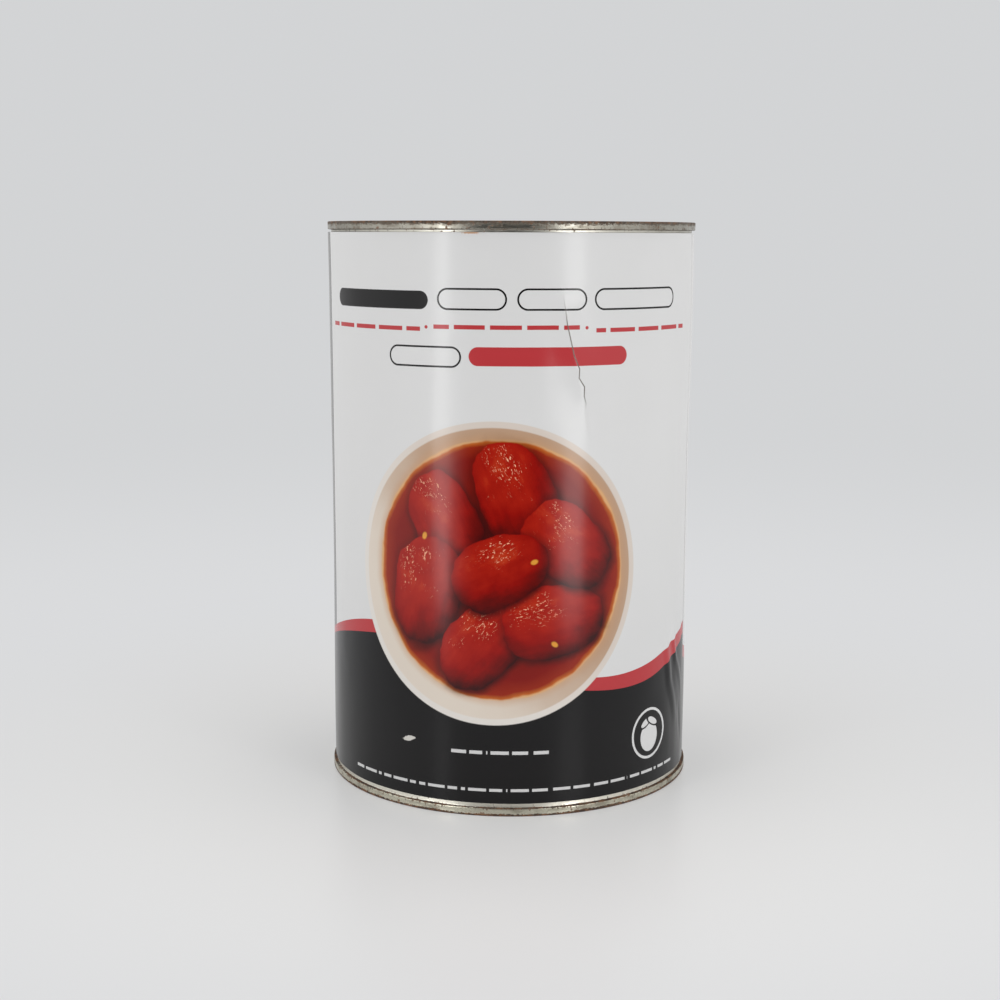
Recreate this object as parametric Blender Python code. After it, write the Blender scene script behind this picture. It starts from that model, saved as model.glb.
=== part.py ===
"""A large shut tin of tomatoes: a straight round can with a double-seamed end at the top and the
bottom, and a paper label wrapped round it and lapped over itself on the right-hand side.

The tin stands on its lower seam. Its axis is Z, its base is at z = 0, and the middle of the
label's picture side faces -Y. Sizes below are in millimetres.
"""

import math

import bmesh
import bpy

MM = 0.001

# Driving dimensions of the can
TIN_HEIGHT = 238.0
SEAM_RADIUS = 78.5
SEAM_HEIGHT = 3.3
SEAM_THICKNESS = 1.5
BODY_RADIUS = 77.0
FIT_GAP = 0.3
FACETS = 64
WELD = 0.01
CREASE_DEG = 35.0

# The end discs, as depths below the rim of the seam
PANEL_DEPTH = 4.6
GROOVE_DEPTH = 5.5
END_DEPTH = 7.0
GROOVE_RADIUS = 76.1
PANEL_RADIUS = 74.0
BEAD_RADII = (30.0, 46.0, 62.0)
BEAD_WIDTH = 4.0
BEAD_DEPTH = 0.6
RIM_OUTER_ROUND = 0.5
RIM_INNER_ROUND = 0.35
SEAM_LIP_ROUND = 0.45
WALL_LEAN = 0.4
NECK_RISE = 1.2
NECK_FLARE = 0.35

# The paper label
PAPER = 0.12
LABEL_BOTTOM = 5.1
LABEL_TOP = 233.6
LABEL_RADIUS = BODY_RADIUS + FIT_GAP + PAPER
LAP_EDGE_DEG = 73.0
LAP_WIDTH = 12.0
LAP_LIFT = PAPER + 0.08
LAP_RUN_OUT = 7.0
LABEL_COLUMNS = 76
LABEL_ROWS = 9

# Where the paper stands off the can: at the upper left, the upper right and near the foot
LEFT_LOOSE_DEG = -88.0
LEFT_LOOSE_SPREAD = 62.0
LEFT_LOOSE_FROM = 55.0
LEFT_LOOSE_BEND = 1.6
LEFT_LIFT = 0.9
RIGHT_LOOSE_DEG = 92.0
RIGHT_LOOSE_SPREAD = 50.0
RIGHT_LOOSE_HEIGHT = 203.0
RIGHT_LOOSE_REACH = 62.0
RIGHT_LIFT = 0.72
FOOT_LOOSE_HEIGHT = 30.0
FOOT_LOOSE_REACH = 50.0
FOOT_LIFT = 0.2


def paint(name, colour, roughness, metallic):
    """One Principled material; colour is linear red, green and blue."""
    material = bpy.data.materials.new(name)
    material.use_nodes = True
    shader = material.node_tree.nodes["Principled BSDF"]
    shader.inputs["Base Color"].default_value = (*colour, 1.0)
    shader.inputs["Roughness"].default_value = roughness
    shader.inputs["Metallic"].default_value = metallic
    material.diffuse_color = (*colour, 1.0)
    return material


def add_object(name, mesh, material, parent):
    mesh.materials.append(material)
    piece = bpy.data.objects.new(name, mesh)
    bpy.context.scene.collection.objects.link(piece)
    piece.parent = parent
    return piece


def arc(centre, radius, start_deg, end_deg, steps):
    """Points (r, z) on an arc, from one angle to the other."""
    points = []
    for step in range(steps + 1):
        angle = math.radians(start_deg + (end_deg - start_deg) * step / steps)
        points.append((centre[0] + radius * math.cos(angle), centre[1] + radius * math.sin(angle)))
    return points


def panel_outline():
    """The sunken panel from the axis outwards, with its ring-shaped expansion beads."""
    points = [(0.0, -PANEL_DEPTH)]
    for radius in BEAD_RADII:
        points.append((radius - BEAD_WIDTH / 2, -PANEL_DEPTH))
        points.append((radius - BEAD_WIDTH / 6, -PANEL_DEPTH - BEAD_DEPTH))
        points.append((radius + BEAD_WIDTH / 6, -PANEL_DEPTH - BEAD_DEPTH))
        points.append((radius + BEAD_WIDTH / 2, -PANEL_DEPTH))
    points.append((PANEL_RADIUS, -PANEL_DEPTH))
    return points


def rim_outline():
    """The groove round the panel, the wall up to the rim, and the double seam rolled over it."""
    inner_radius = SEAM_RADIUS - SEAM_THICKNESS
    groove_round = (GROOVE_RADIUS - PANEL_RADIUS) / 2 - WALL_LEAN / 2
    groove_middle = (GROOVE_RADIUS + PANEL_RADIUS) / 2 + WALL_LEAN / 2
    outer_centre = (SEAM_RADIUS - RIM_OUTER_ROUND, -RIM_OUTER_ROUND)
    inner_centre = (inner_radius + RIM_INNER_ROUND, -RIM_INNER_ROUND)
    lip_centre = (SEAM_RADIUS - SEAM_LIP_ROUND, -SEAM_HEIGHT + SEAM_LIP_ROUND)
    points = arc((groove_middle, -GROOVE_DEPTH + groove_round), groove_round, 180, 360, 4)
    points += arc(inner_centre, RIM_INNER_ROUND, 180, 90, 2)
    points += arc(outer_centre, RIM_OUTER_ROUND, 90, 0, 3)
    points += arc(lip_centre, SEAM_LIP_ROUND, 0, -90, 2)
    points.append((BODY_RADIUS + NECK_FLARE, -SEAM_HEIGHT))
    points.append((BODY_RADIUS, -SEAM_HEIGHT - NECK_RISE))
    return points


def end_outline():
    """The whole section of an end disc, from the axis on its outside to the axis on its inside."""
    return panel_outline() + rim_outline() + [(BODY_RADIUS, -END_DEPTH), (0.0, -END_DEPTH)]


def body_outline():
    """The filled can between the two ends."""
    low = END_DEPTH + FIT_GAP
    high = TIN_HEIGHT - END_DEPTH - FIT_GAP
    return [(0.0, high), (BODY_RADIUS, high), (BODY_RADIUS, low), (0.0, low)]


def round_shading(mesh):
    """Smooth across the facets, with the real corners kept crisp."""
    mesh.shade_smooth()
    mesh.set_sharp_from_angle(angle=math.radians(CREASE_DEG))


def turned_solid(name, outline, material, parent):
    """A closed solid turned about Z from an outline that starts and ends on the axis."""
    build = bmesh.new()
    points = [build.verts.new((radius * MM, 0.0, height * MM)) for radius, height in outline]
    edges = [build.edges.new(pair) for pair in zip(points, points[1:])]
    bmesh.ops.spin(
        build, geom=points + edges, axis=(0.0, 0.0, 1.0), angle=2 * math.pi, steps=FACETS, use_merge=True
    )
    bmesh.ops.remove_doubles(build, verts=build.verts, dist=WELD * MM)
    bmesh.ops.recalc_face_normals(build, faces=build.faces)
    mesh = bpy.data.meshes.new(name)
    build.to_mesh(mesh)
    build.free()
    round_shading(mesh)
    return add_object(name, mesh, material, parent)


def bump(value, middle, half_width):
    """A smooth hump: 1 at the middle, 0 beyond half_width on both sides."""
    distance = min(abs(value - middle) / half_width, 1.0)
    return 0.5 + 0.5 * math.cos(math.pi * distance)


def label_lift(azimuth_deg, height):
    """How far the paper stands off its snug radius at one place."""
    left_side = bump(azimuth_deg, LEFT_LOOSE_DEG, LEFT_LOOSE_SPREAD)
    right_side = bump(azimuth_deg % 360.0, RIGHT_LOOSE_DEG, RIGHT_LOOSE_SPREAD)
    share_up = max(0.0, (height - LEFT_LOOSE_FROM) / (LABEL_TOP - LEFT_LOOSE_FROM))
    up_the_left = share_up**LEFT_LOOSE_BEND
    up_the_right = bump(height, RIGHT_LOOSE_HEIGHT, RIGHT_LOOSE_REACH)
    at_foot = FOOT_LIFT * bump(height, FOOT_LOOSE_HEIGHT, FOOT_LOOSE_REACH)
    left_lift = left_side * (LEFT_LIFT * up_the_left + at_foot)
    return left_lift + right_side * (RIGHT_LIFT * up_the_right + at_foot)


def lap_rise(along):
    """The top layer is raised over the layer below it, then runs out; along is from its free edge."""
    if along <= LAP_WIDTH:
        return LAP_LIFT
    return LAP_LIFT * max(0.0, 1.0 - (along - LAP_WIDTH) / LAP_RUN_OUT)


def label_columns():
    """Distances along the paper from its free edge, round the can and under itself."""
    around = 2 * math.pi * LABEL_RADIUS
    length = around + LAP_WIDTH
    spread = [length * column / LABEL_COLUMNS for column in range(LABEL_COLUMNS + 1)]
    corners = [LAP_WIDTH, LAP_WIDTH + LAP_RUN_OUT, around]
    return sorted(spread + corners)


def wrapped_label(name, material, parent):
    """The paper as one sheet: outer face first, thickened inwards by a Solidify modifier."""
    build = bmesh.new()
    row_height = (LABEL_TOP - LABEL_BOTTOM) / LABEL_ROWS
    heights = [LABEL_BOTTOM + row * row_height for row in range(LABEL_ROWS + 1)]
    grid = []
    for along in label_columns():
        azimuth_deg = LAP_EDGE_DEG - math.degrees(along / LABEL_RADIUS)
        azimuth = math.radians(azimuth_deg)
        column = []
        for height in heights:
            radius = LABEL_RADIUS + label_lift(azimuth_deg, height) + lap_rise(along)
            place = (radius * math.sin(azimuth), -radius * math.cos(azimuth), height)
            column.append(build.verts.new([value * MM for value in place]))
        grid.append(column)
    for near, far in zip(grid, grid[1:]):
        for row in range(LABEL_ROWS):
            build.faces.new((near[row], near[row + 1], far[row + 1], far[row]))
    mesh = bpy.data.meshes.new(name)
    build.to_mesh(mesh)
    build.free()
    round_shading(mesh)
    piece = add_object(name, mesh, material, parent)
    thick = piece.modifiers.new("Paper", "SOLIDIFY")
    thick.thickness = PAPER * MM
    thick.offset = -1.0
    return piece


def clear_scene():
    for old in list(bpy.data.objects):
        bpy.data.objects.remove(old)


def build_tin():
    tinplate = paint("tinplate", (0.33, 0.32, 0.28), 0.35, 1.0)
    end_plate = paint("end_plate", (0.36, 0.35, 0.31), 0.32, 1.0)
    foot_plate = paint("foot_plate", (0.31, 0.29, 0.24), 0.38, 1.0)
    paper = paint("label_paper", (0.78, 0.78, 0.77), 0.25, 0.0)
    tin = bpy.data.objects.new("tin", None)
    bpy.context.scene.collection.objects.link(tin)
    turned_solid("can_body", body_outline(), tinplate, tin)
    top_end = turned_solid("top_end", end_outline(), end_plate, tin)
    top_end.location.z = TIN_HEIGHT * MM
    bottom_outline = [(radius, -height) for radius, height in reversed(end_outline())]
    turned_solid("bottom_end", bottom_outline, foot_plate, tin)
    wrapped_label("label", paper, tin)


clear_scene()
build_tin()
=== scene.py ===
# %% [markdown]
# # A large tin of tomatoes
#
# The real thing is a catering tin: a straight can of tinplate, an end disc rolled onto it at the
# top and at the bottom, and one sheet of glossy printed paper wrapped round it. This lesson dresses
# the fixed frame of that tin. The frame gives every size and place, in metres, with the middle of
# the base at the origin and the picture side of the label towards -Y.

# %% Load the fixed frame
import math

import bpy
from mathutils import Euler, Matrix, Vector


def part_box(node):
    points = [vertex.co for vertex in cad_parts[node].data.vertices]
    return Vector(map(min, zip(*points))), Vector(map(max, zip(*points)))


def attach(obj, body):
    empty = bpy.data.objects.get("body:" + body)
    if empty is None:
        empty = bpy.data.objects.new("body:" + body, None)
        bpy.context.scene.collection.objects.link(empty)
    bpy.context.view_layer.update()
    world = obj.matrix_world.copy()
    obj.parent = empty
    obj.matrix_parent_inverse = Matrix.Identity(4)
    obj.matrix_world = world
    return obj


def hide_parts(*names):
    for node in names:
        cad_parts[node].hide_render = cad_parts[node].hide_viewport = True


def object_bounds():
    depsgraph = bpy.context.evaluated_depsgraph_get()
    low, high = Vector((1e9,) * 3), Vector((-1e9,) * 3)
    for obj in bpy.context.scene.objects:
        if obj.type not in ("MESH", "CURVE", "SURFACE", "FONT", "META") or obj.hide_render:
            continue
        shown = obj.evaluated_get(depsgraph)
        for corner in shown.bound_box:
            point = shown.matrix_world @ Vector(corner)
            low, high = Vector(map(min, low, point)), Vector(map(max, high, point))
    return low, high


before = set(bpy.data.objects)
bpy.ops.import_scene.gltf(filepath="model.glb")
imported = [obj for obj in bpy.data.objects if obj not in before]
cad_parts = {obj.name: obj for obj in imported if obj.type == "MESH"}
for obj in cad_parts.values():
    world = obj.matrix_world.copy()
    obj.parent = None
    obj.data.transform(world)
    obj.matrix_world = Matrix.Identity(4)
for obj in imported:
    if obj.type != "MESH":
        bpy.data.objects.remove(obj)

cad_low, cad_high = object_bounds()
MM = 0.001
TIN_HEIGHT = cad_high.z / MM
SEAM_RADIUS = cad_high.x / MM
BODY_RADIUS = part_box("can_body")[1].x / MM
LABEL_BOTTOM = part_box("label")[0].z / MM
LABEL_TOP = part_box("label")[1].z / MM
END_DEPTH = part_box("bottom_end")[1].z / MM
print(f"tin {TIN_HEIGHT:.1f} mm high, seam radius {SEAM_RADIUS:.2f}, body radius {BODY_RADIUS:.2f}")

# %% [markdown]
# ## The camera
#
# The camera comes first, because it decides which details matter. It stands about 70 cm away and a
# little below the height of the rim, and it looks down by nine degrees. A long lens keeps the sides
# of the can nearly upright. These values were found by laying the outline of the two seams and of
# the label over the photograph.

# %% Place the camera
CAMERA_PLACE = Vector((-4.45, -714.0, 232.5)) * MM
CAMERA_PITCH = 0.1600
CAMERA_ROLL = 0.0038
CAMERA_LENS = 59.08


def add_camera():
    data = bpy.data.cameras.new("camera")
    data.lens = CAMERA_LENS
    data.sensor_width = 36.0
    camera = bpy.data.objects.new("camera", data)
    bpy.context.scene.collection.objects.link(camera)
    tilt = Euler((math.pi / 2 - CAMERA_PITCH, 0.0, 0.0)).to_matrix()
    roll = Euler((0.0, 0.0, CAMERA_ROLL)).to_matrix()
    camera.rotation_euler = (tilt @ roll).to_euler()
    camera.location = CAMERA_PLACE
    bpy.context.scene.camera = camera


add_camera()
print("camera with a", CAMERA_LENS, "mm lens")

# %% [markdown]
# ## Numbers that flow through nodes
#
# Both the shapes and the print are worked out by rules, and a rule in Blender is a chain of Math
# nodes. Placing hundreds of them by hand hides the rule. So a small class stands for one number in
# a node tree, and ordinary arithmetic on it adds the nodes. The same class works in a geometry
# tree and in a material.

# %% Arithmetic that builds nodes


class Number:
    """One number in a node tree. Arithmetic on it adds Math nodes and gives a new Number."""

    def __init__(self, tree, socket):
        self.tree = tree
        self.socket = socket

    def math(self, operation, *others):
        node = self.tree.nodes.new("ShaderNodeMath")
        node.operation = operation
        for socket, value in zip(node.inputs, (self, *others)):
            feed(self.tree, socket, value)
        return Number(self.tree, node.outputs[0])

    def __add__(self, other):
        return self.math("ADD", other)

    def __sub__(self, other):
        return self.math("SUBTRACT", other)

    def __rsub__(self, other):
        return self.math("MULTIPLY_ADD", -1.0, other)

    def __mul__(self, other):
        return self.math("MULTIPLY", other)

    def __truediv__(self, other):
        return self.math("DIVIDE", other)

    def __pow__(self, other):
        return self.math("POWER", other)

    def __abs__(self):
        return self.math("ABSOLUTE")

    def __neg__(self):
        return self.math("MULTIPLY", -1.0)

    __radd__ = __add__
    __rmul__ = __mul__

    def sine(self):
        return self.math("SINE")

    def cosine(self):
        return self.math("COSINE")

    def root(self):
        return self.math("SQRT")

    def least(self, other):
        return self.math("MINIMUM", other)

    def most(self, other):
        return self.math("MAXIMUM", other)

    def wrapped(self, low, high):
        return self.math("WRAP", high, low)

    def ramp(self, start, end, low=0.0, high=1.0):
        """Smoothly from low at start to high at end."""
        node = self.tree.nodes.new("ShaderNodeMapRange")
        node.interpolation_type = "SMOOTHSTEP"
        for socket, value in zip(node.inputs, (self, start, end, low, high)):
            feed(self.tree, socket, value)
        return Number(self.tree, node.outputs[0])

    def hump(self, middle, reach):
        """1 at the middle, falling smoothly to 0 at that reach on either side."""
        return abs(self - middle).ramp(reach, 0.0)


def feed(tree, socket, value):
    """Link a Number or a socket, or set a plain value."""
    if isinstance(value, Number):
        tree.links.new(value.socket, socket)
    elif isinstance(value, bpy.types.NodeSocket):
        tree.links.new(value, socket)
    else:
        socket.default_value = value


def add_node(tree, kind, inputs=None, **settings):
    """Add a node, set its properties, and feed its inputs by name or number."""
    node = tree.nodes.new(kind)
    for name, value in settings.items():
        setattr(node, name, value)
    for key, value in (inputs or {}).items():
        feed(tree, node.inputs[key], value)
    return node


def split(tree, vector):
    """The three numbers of a vector socket."""
    node = add_node(tree, "ShaderNodeSeparateXYZ", {0: vector})
    return [Number(tree, socket) for socket in node.outputs]


def joined(tree, x, y, z):
    return add_node(tree, "ShaderNodeCombineXYZ", {0: x, 1: y, 2: z}).outputs[0]


def noise(tree, vector, scale, detail=2.0, roughness=0.5, stretch=(1.0, 1.0, 1.0)):
    """A Noise Texture from 0 to 1 whose scale is in features per unit of the vector."""
    placed = add_node(tree, "ShaderNodeVectorMath", {0: vector, 1: stretch}, operation="MULTIPLY")
    values = {"Vector": placed.outputs[0], "Scale": scale, "Detail": detail, "Roughness": roughness}
    return Number(tree, add_node(tree, "ShaderNodeTexNoise", values).outputs[0])


print("number helper ready")

# %% [markdown]
# ## Growing a mesh from a geometry tree
#
# Each geometry tree below has named inputs. A modifier's inputs are stored under the socket's
# identifier, so the helper looks that up. It then evaluates the tree once and keeps the result as a
# plain mesh. Corners sharper than forty degrees stay crisp, and a sheet can be given its thickness on
# the way.

# %% Helpers for geometry trees
SOCKET_KINDS = {int: "NodeSocketInt", float: "NodeSocketFloat", bpy.types.Material: "NodeSocketMaterial"}
CREASE_ANGLE = math.radians(40.0)


def new_geometry_tree(name, values):
    """A geometry tree with one named input for each value; gives the tree and its inputs."""
    tree = bpy.data.node_groups.new(name, "GeometryNodeTree")
    tree.interface.new_socket("Geometry", in_out="INPUT", socket_type="NodeSocketGeometry")
    for label, value in values.items():
        tree.interface.new_socket(label, in_out="INPUT", socket_type=SOCKET_KINDS[type(value)])
    tree.interface.new_socket("Geometry", in_out="OUTPUT", socket_type="NodeSocketGeometry")
    given = tree.nodes.new("NodeGroupInput")
    inputs = {socket.name: socket for socket in given.outputs if socket.name}
    for label, value in values.items():
        if type(value) is not bpy.types.Material:
            inputs[label] = Number(tree, inputs[label])
    return tree, inputs


def end_tree(tree, geometry, material):
    """Every tree ends by making its instances real and setting its material."""
    real = add_node(tree, "GeometryNodeRealizeInstances", {0: geometry})
    smooth = add_node(tree, "GeometryNodeSetShadeSmooth", {"Geometry": real.outputs[0]})
    painted = add_node(tree, "GeometryNodeSetMaterial", {0: smooth.outputs[0], "Material": material})
    tree.links.new(painted.outputs[0], tree.nodes.new("NodeGroupOutput").inputs[0])


def grown(name, tree, values, start=None, thickness=0.0):
    """Run the tree on a start mesh and keep what it makes as a plain mesh object."""
    seed_mesh = start or bpy.data.meshes.new(name)
    seed = bpy.data.objects.new(name + "_seed", seed_mesh)
    bpy.context.scene.collection.objects.link(seed)
    modifier = seed.modifiers.new("Grow", "NODES")
    modifier.node_group = tree
    inputs = [item for item in tree.interface.items_tree if item.in_out == "INPUT"]
    identifiers = {item.name: item.identifier for item in inputs}
    for label, value in values.items():
        modifier[identifiers[label]] = value
    if thickness:
        shell = seed.modifiers.new("Thickness", "SOLIDIFY")
        shell.thickness = thickness
        shell.offset = -1.0
    evaluated = seed.evaluated_get(bpy.context.evaluated_depsgraph_get())
    mesh = bpy.data.meshes.new_from_object(evaluated)
    mesh.set_sharp_from_angle(angle=CREASE_ANGLE)
    mesh.name = name
    bpy.data.objects.remove(seed)
    piece = bpy.data.objects.new(name, mesh)
    bpy.context.scene.collection.objects.link(piece)
    mesh.calc_loop_triangles()
    print(name, "has", len(mesh.loop_triangles), "triangles")
    return piece


# %% [markdown]
# ## Tinplate
#
# Tinplate is thin steel with a bright coat of tin. It is a metal with a warm grey tone and soft,
# slightly blurred reflections, and it keeps the straight grain of the rolling mill. Where it is
# bent sharply the tin cracks and the steel below rusts, so brown shows first along the two edges
# of each rolled seam. The rust mask is a noise whose threshold drops close to those edges.

# %% Make the tinplate material
# The foot's strip and seam are lighter than the top's: tin colour plus painted reflection of the floor.
TOP_STRIP_COLOUR = (0.53, 0.515, 0.455)
FOOT_STRIP_TIN_AND_REFLECTION = (0.71, 0.685, 0.60)
TOP_SEAM_COLOUR = (0.35, 0.335, 0.29)
FOOT_SEAM_TIN_AND_REFLECTION = (0.56, 0.535, 0.435)
SMUDGE_COLOUR = (0.120, 0.093, 0.063)
GRIME_COLOUR = (0.085, 0.062, 0.042)
RUST_DARK = (0.045, 0.026, 0.016)
RUST_LIGHT = (0.165, 0.078, 0.036)
SEAM_HEIGHT = 3.3
JOINT_REACH = 1.7
RUST_INNER_RADIUS = 76.8

# Heights in mm where rust shows, how far it reaches, and how much of the line is rusty
RUST_LINES = (
    (0.3, 1.8, 0.37),
    (SEAM_HEIGHT, 0.42, 0.30),
    (TIN_HEIGHT - SEAM_HEIGHT, 0.36, 0.26),
    (TIN_HEIGHT, 2.4, 0.27),
    (LABEL_TOP + 0.1, 0.35, 0.20),
)

# Grime sits on the shoulder of each seam: a height in mm, how far it reaches, and how strong it is.
# The noise scales further down are in features per metre.
GRIME_LINES = ((TIN_HEIGHT, 2.5, 0.60), (0.0, 0.9, 0.45))


def colour_mix(tree, share, first, second):
    """Mix two colours; each may be a socket or a plain triple."""
    node = tree.nodes.new("ShaderNodeMix")
    node.data_type = "RGBA"
    feed(tree, node.inputs["Factor"], share)
    for label, colour in (("A", first), ("B", second)):
        socket = next(item for item in node.inputs if item.name == label and item.type == "RGBA")
        feed(tree, socket, (*colour, 1.0) if isinstance(colour, tuple) else colour)
    return next(item for item in node.outputs if item.type == "RGBA")


def new_material(name):
    material = bpy.data.materials.new(name)
    material.use_nodes = True
    tree = material.node_tree
    return material, tree, tree.nodes["Principled BSDF"]


def add_bump(tree, shader, height, distance):
    bump = add_node(tree, "ShaderNodeBump", {"Height": height, "Distance": distance, "Strength": 1.0})
    tree.links.new(bump.outputs[0], shader.inputs["Normal"])


def tinplate_material():
    material, tree, shader = new_material("tinplate")
    place = add_node(tree, "ShaderNodeTexCoord").outputs["Object"]
    x, y, z = split(tree, place)
    radius = (x * x + y * y).root() * 1000.0
    height = z * 1000.0
    outside = radius.ramp(RUST_INNER_RADIUS, RUST_INNER_RADIUS + 0.4)
    patches = noise(tree, place, 38.0)
    grains = noise(tree, place, 1500.0, detail=3.0, roughness=0.7, stretch=(0.65, 0.65, 1.0))
    specks = noise(tree, place, 480.0, detail=3.0, roughness=0.7)
    ticks = noise(tree, place, 1300.0, detail=1.0, stretch=(1.0, 1.0, 0.35))
    rust_level = grains * 0.55 + patches * 0.45
    for line, reach, amount in RUST_LINES:
        rust_level = rust_level + height.hump(line, reach) * outside * amount
    rust = rust_level.ramp(0.665, 0.76)
    foot_joint = height.hump(SEAM_HEIGHT, JOINT_REACH)
    top_joint = height.hump(TIN_HEIGHT - SEAM_HEIGHT, JOINT_REACH)
    on_joint = foot_joint.most(top_joint) * outside
    small_cracks = (ticks + on_joint * 0.15).ramp(0.73, 0.77)
    pits = (specks + outside * 0.045).ramp(0.665, 0.70).most(small_cracks)
    smudges = noise(tree, place, 190.0, detail=5.0, roughness=0.62, stretch=(0.8, 0.8, 2.0))
    smudge = (smudges * 0.7 + patches * 0.3 + outside * 0.03).ramp(0.47, 0.66)
    grime_level = smudges * 0.6 + grains * 1.1 - 0.77
    for line, reach, amount in GRIME_LINES:
        grime_level = grime_level + height.hump(line, reach) * outside * amount
    grime = grime_level.ramp(0.22, 0.46)
    rolled = noise(tree, place, 1.0, detail=3.0, stretch=(60.0, 2600.0, 2600.0))
    # Lighter towards the foot: painted reflection of the floor, mixed in by height.
    at_top = height.ramp(100.0, 130.0)
    on_seam = height.least(TIN_HEIGHT - height).ramp(SEAM_HEIGHT + 0.1, SEAM_HEIGHT - 0.1)
    seam_colour = colour_mix(tree, at_top, FOOT_SEAM_TIN_AND_REFLECTION, TOP_SEAM_COLOUR)
    strip_colour = colour_mix(tree, at_top, FOOT_STRIP_TIN_AND_REFLECTION, TOP_STRIP_COLOUR)
    clean = colour_mix(tree, on_seam, strip_colour, seam_colour)
    clean = colour_mix(tree, smudge * (0.16 + on_seam * 0.34), clean, SMUDGE_COLOUR)
    clean = colour_mix(tree, grime * 0.85, clean, GRIME_COLOUR)
    rust_colour = colour_mix(tree, specks.ramp(0.42, 0.62), RUST_DARK, RUST_LIGHT)
    brown = rust.most(pits * 0.85)
    feed(tree, shader.inputs["Base Color"], colour_mix(tree, brown, clean, rust_colour))
    feed(tree, shader.inputs["Metallic"], (1.0 - brown * 0.9) * (1.0 - grime * 0.5))
    polish = 0.29 - on_seam * 0.04
    dull = brown.most(grime * 0.6) * 0.40
    feed(tree, shader.inputs["Roughness"], polish + smudge * 0.12 + rolled * 0.05 + dull)
    add_bump(tree, shader, rolled * 0.25 + brown * 0.8 + smudges * 0.35, 0.00007)
    return material


tinplate = tinplate_material()
print("tinplate made")

# %% [markdown]
# ## The two ends
#
# An end disc is pressed from one sheet: a panel with ring beads that let it bulge in the cooker, a
# groove, a wall, and a rim that is rolled together with the top of the can into the double seam. It
# is a turned shape, so its outline is drawn once and a geometry tree carries the outline round the
# axis. The tree bends a grid: one direction of the grid walks along the outline, and the other goes
# round. A little waver in the radius keeps the reflections from looking machined.

# %% Draw the outline of an end
PANEL_DEPTH = 4.6
GROOVE_DEPTH = 5.5
GROOVE_RADIUS = 76.1
PANEL_RADIUS = 74.0
BEAD_RADII = (30.0, 46.0, 62.0)
BEAD_WIDTH = 4.0
BEAD_DEPTH = 0.6
SEAM_THICKNESS = 1.5
RIM_OUTER_ROUND = 0.5
RIM_INNER_ROUND = 0.35
SEAM_LIP_ROUND = 0.45
WALL_LEAN = 0.4
NECK_RISE = 0.35
NECK_FLARE = 0.15
ROLL_MARK = 0.05
PANEL_STEPS = (0.0, 10.0, 20.0)


def arc(centre, radius, start_deg, end_deg, steps):
    """Points (r, z) on an arc, from one angle to the other."""
    points = []
    for step in range(steps + 1):
        angle = math.radians(start_deg + (end_deg - start_deg) * step / steps)
        points.append((centre[0] + radius * math.cos(angle), centre[1] + radius * math.sin(angle)))
    return points


def bead(radius, steps=8):
    """One ring bead, a smooth dip in the panel."""
    points = []
    for step in range(steps + 1):
        share = step / steps
        dip = 0.5 - 0.5 * math.cos(2 * math.pi * share)
        points.append((radius + BEAD_WIDTH * (share - 0.5), -PANEL_DEPTH - BEAD_DEPTH * dip))
    return points


def seam_wall(steps=10):
    """The outside of the seam: nearly straight, pressed in slightly by the seaming roll."""
    top = -RIM_OUTER_ROUND
    bottom = -SEAM_HEIGHT + SEAM_LIP_ROUND
    points = []
    for step in range(1, steps):
        share = step / steps
        pressed = ROLL_MARK * math.sin(math.pi * share) ** 2
        points.append((SEAM_RADIUS - pressed, top + (bottom - top) * share))
    return points


def end_outline():
    """An end's section from the axis outside, over the rim, to the axis inside; z is below the rim."""
    inner_radius = SEAM_RADIUS - SEAM_THICKNESS
    groove_round = (GROOVE_RADIUS - PANEL_RADIUS) / 2 - WALL_LEAN / 2
    groove_middle = (GROOVE_RADIUS + PANEL_RADIUS) / 2 + WALL_LEAN / 2
    points = [(radius, -PANEL_DEPTH) for radius in PANEL_STEPS]
    for radius in BEAD_RADII:
        points += bead(radius)
    points += [(PANEL_RADIUS - 2.0, -PANEL_DEPTH), (PANEL_RADIUS, -PANEL_DEPTH)]
    points += arc((groove_middle, -GROOVE_DEPTH + groove_round), groove_round, 180, 360, 12)
    points += arc((inner_radius + RIM_INNER_ROUND, -RIM_INNER_ROUND), RIM_INNER_ROUND, 180, 90, 6)
    points += arc((SEAM_RADIUS - RIM_OUTER_ROUND, -RIM_OUTER_ROUND), RIM_OUTER_ROUND, 90, 0, 8)
    points += seam_wall()
    lip_middle = (SEAM_RADIUS - SEAM_LIP_ROUND, -SEAM_HEIGHT + SEAM_LIP_ROUND)
    points += arc(lip_middle, SEAM_LIP_ROUND, 0, -90, 7)
    points += [
        (BODY_RADIUS + NECK_FLARE + 0.1, -SEAM_HEIGHT),
        (BODY_RADIUS + NECK_FLARE, -SEAM_HEIGHT - 0.05),
        (BODY_RADIUS + NECK_FLARE * 0.3, -SEAM_HEIGHT - NECK_RISE * 0.6),
        (BODY_RADIUS, -SEAM_HEIGHT - NECK_RISE),
        (BODY_RADIUS, -END_DEPTH + 0.1),
        (BODY_RADIUS - 0.1, -END_DEPTH),
        (0.0, -END_DEPTH),
    ]
    return points


def outline_mesh(name, outline):
    mesh = bpy.data.meshes.new(name)
    mesh.from_pydata([(radius * MM, 0.0, height * MM) for radius, height in outline], [], [])
    return mesh


print("the outline of an end has", len(end_outline()), "points")

# %% Build the tree that turns an outline
TURN_VALUES = {"Around": 360, "Rings": 2, "Waver": 0.00003, "Material": tinplate}
WELD = 0.001 * MM


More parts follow.
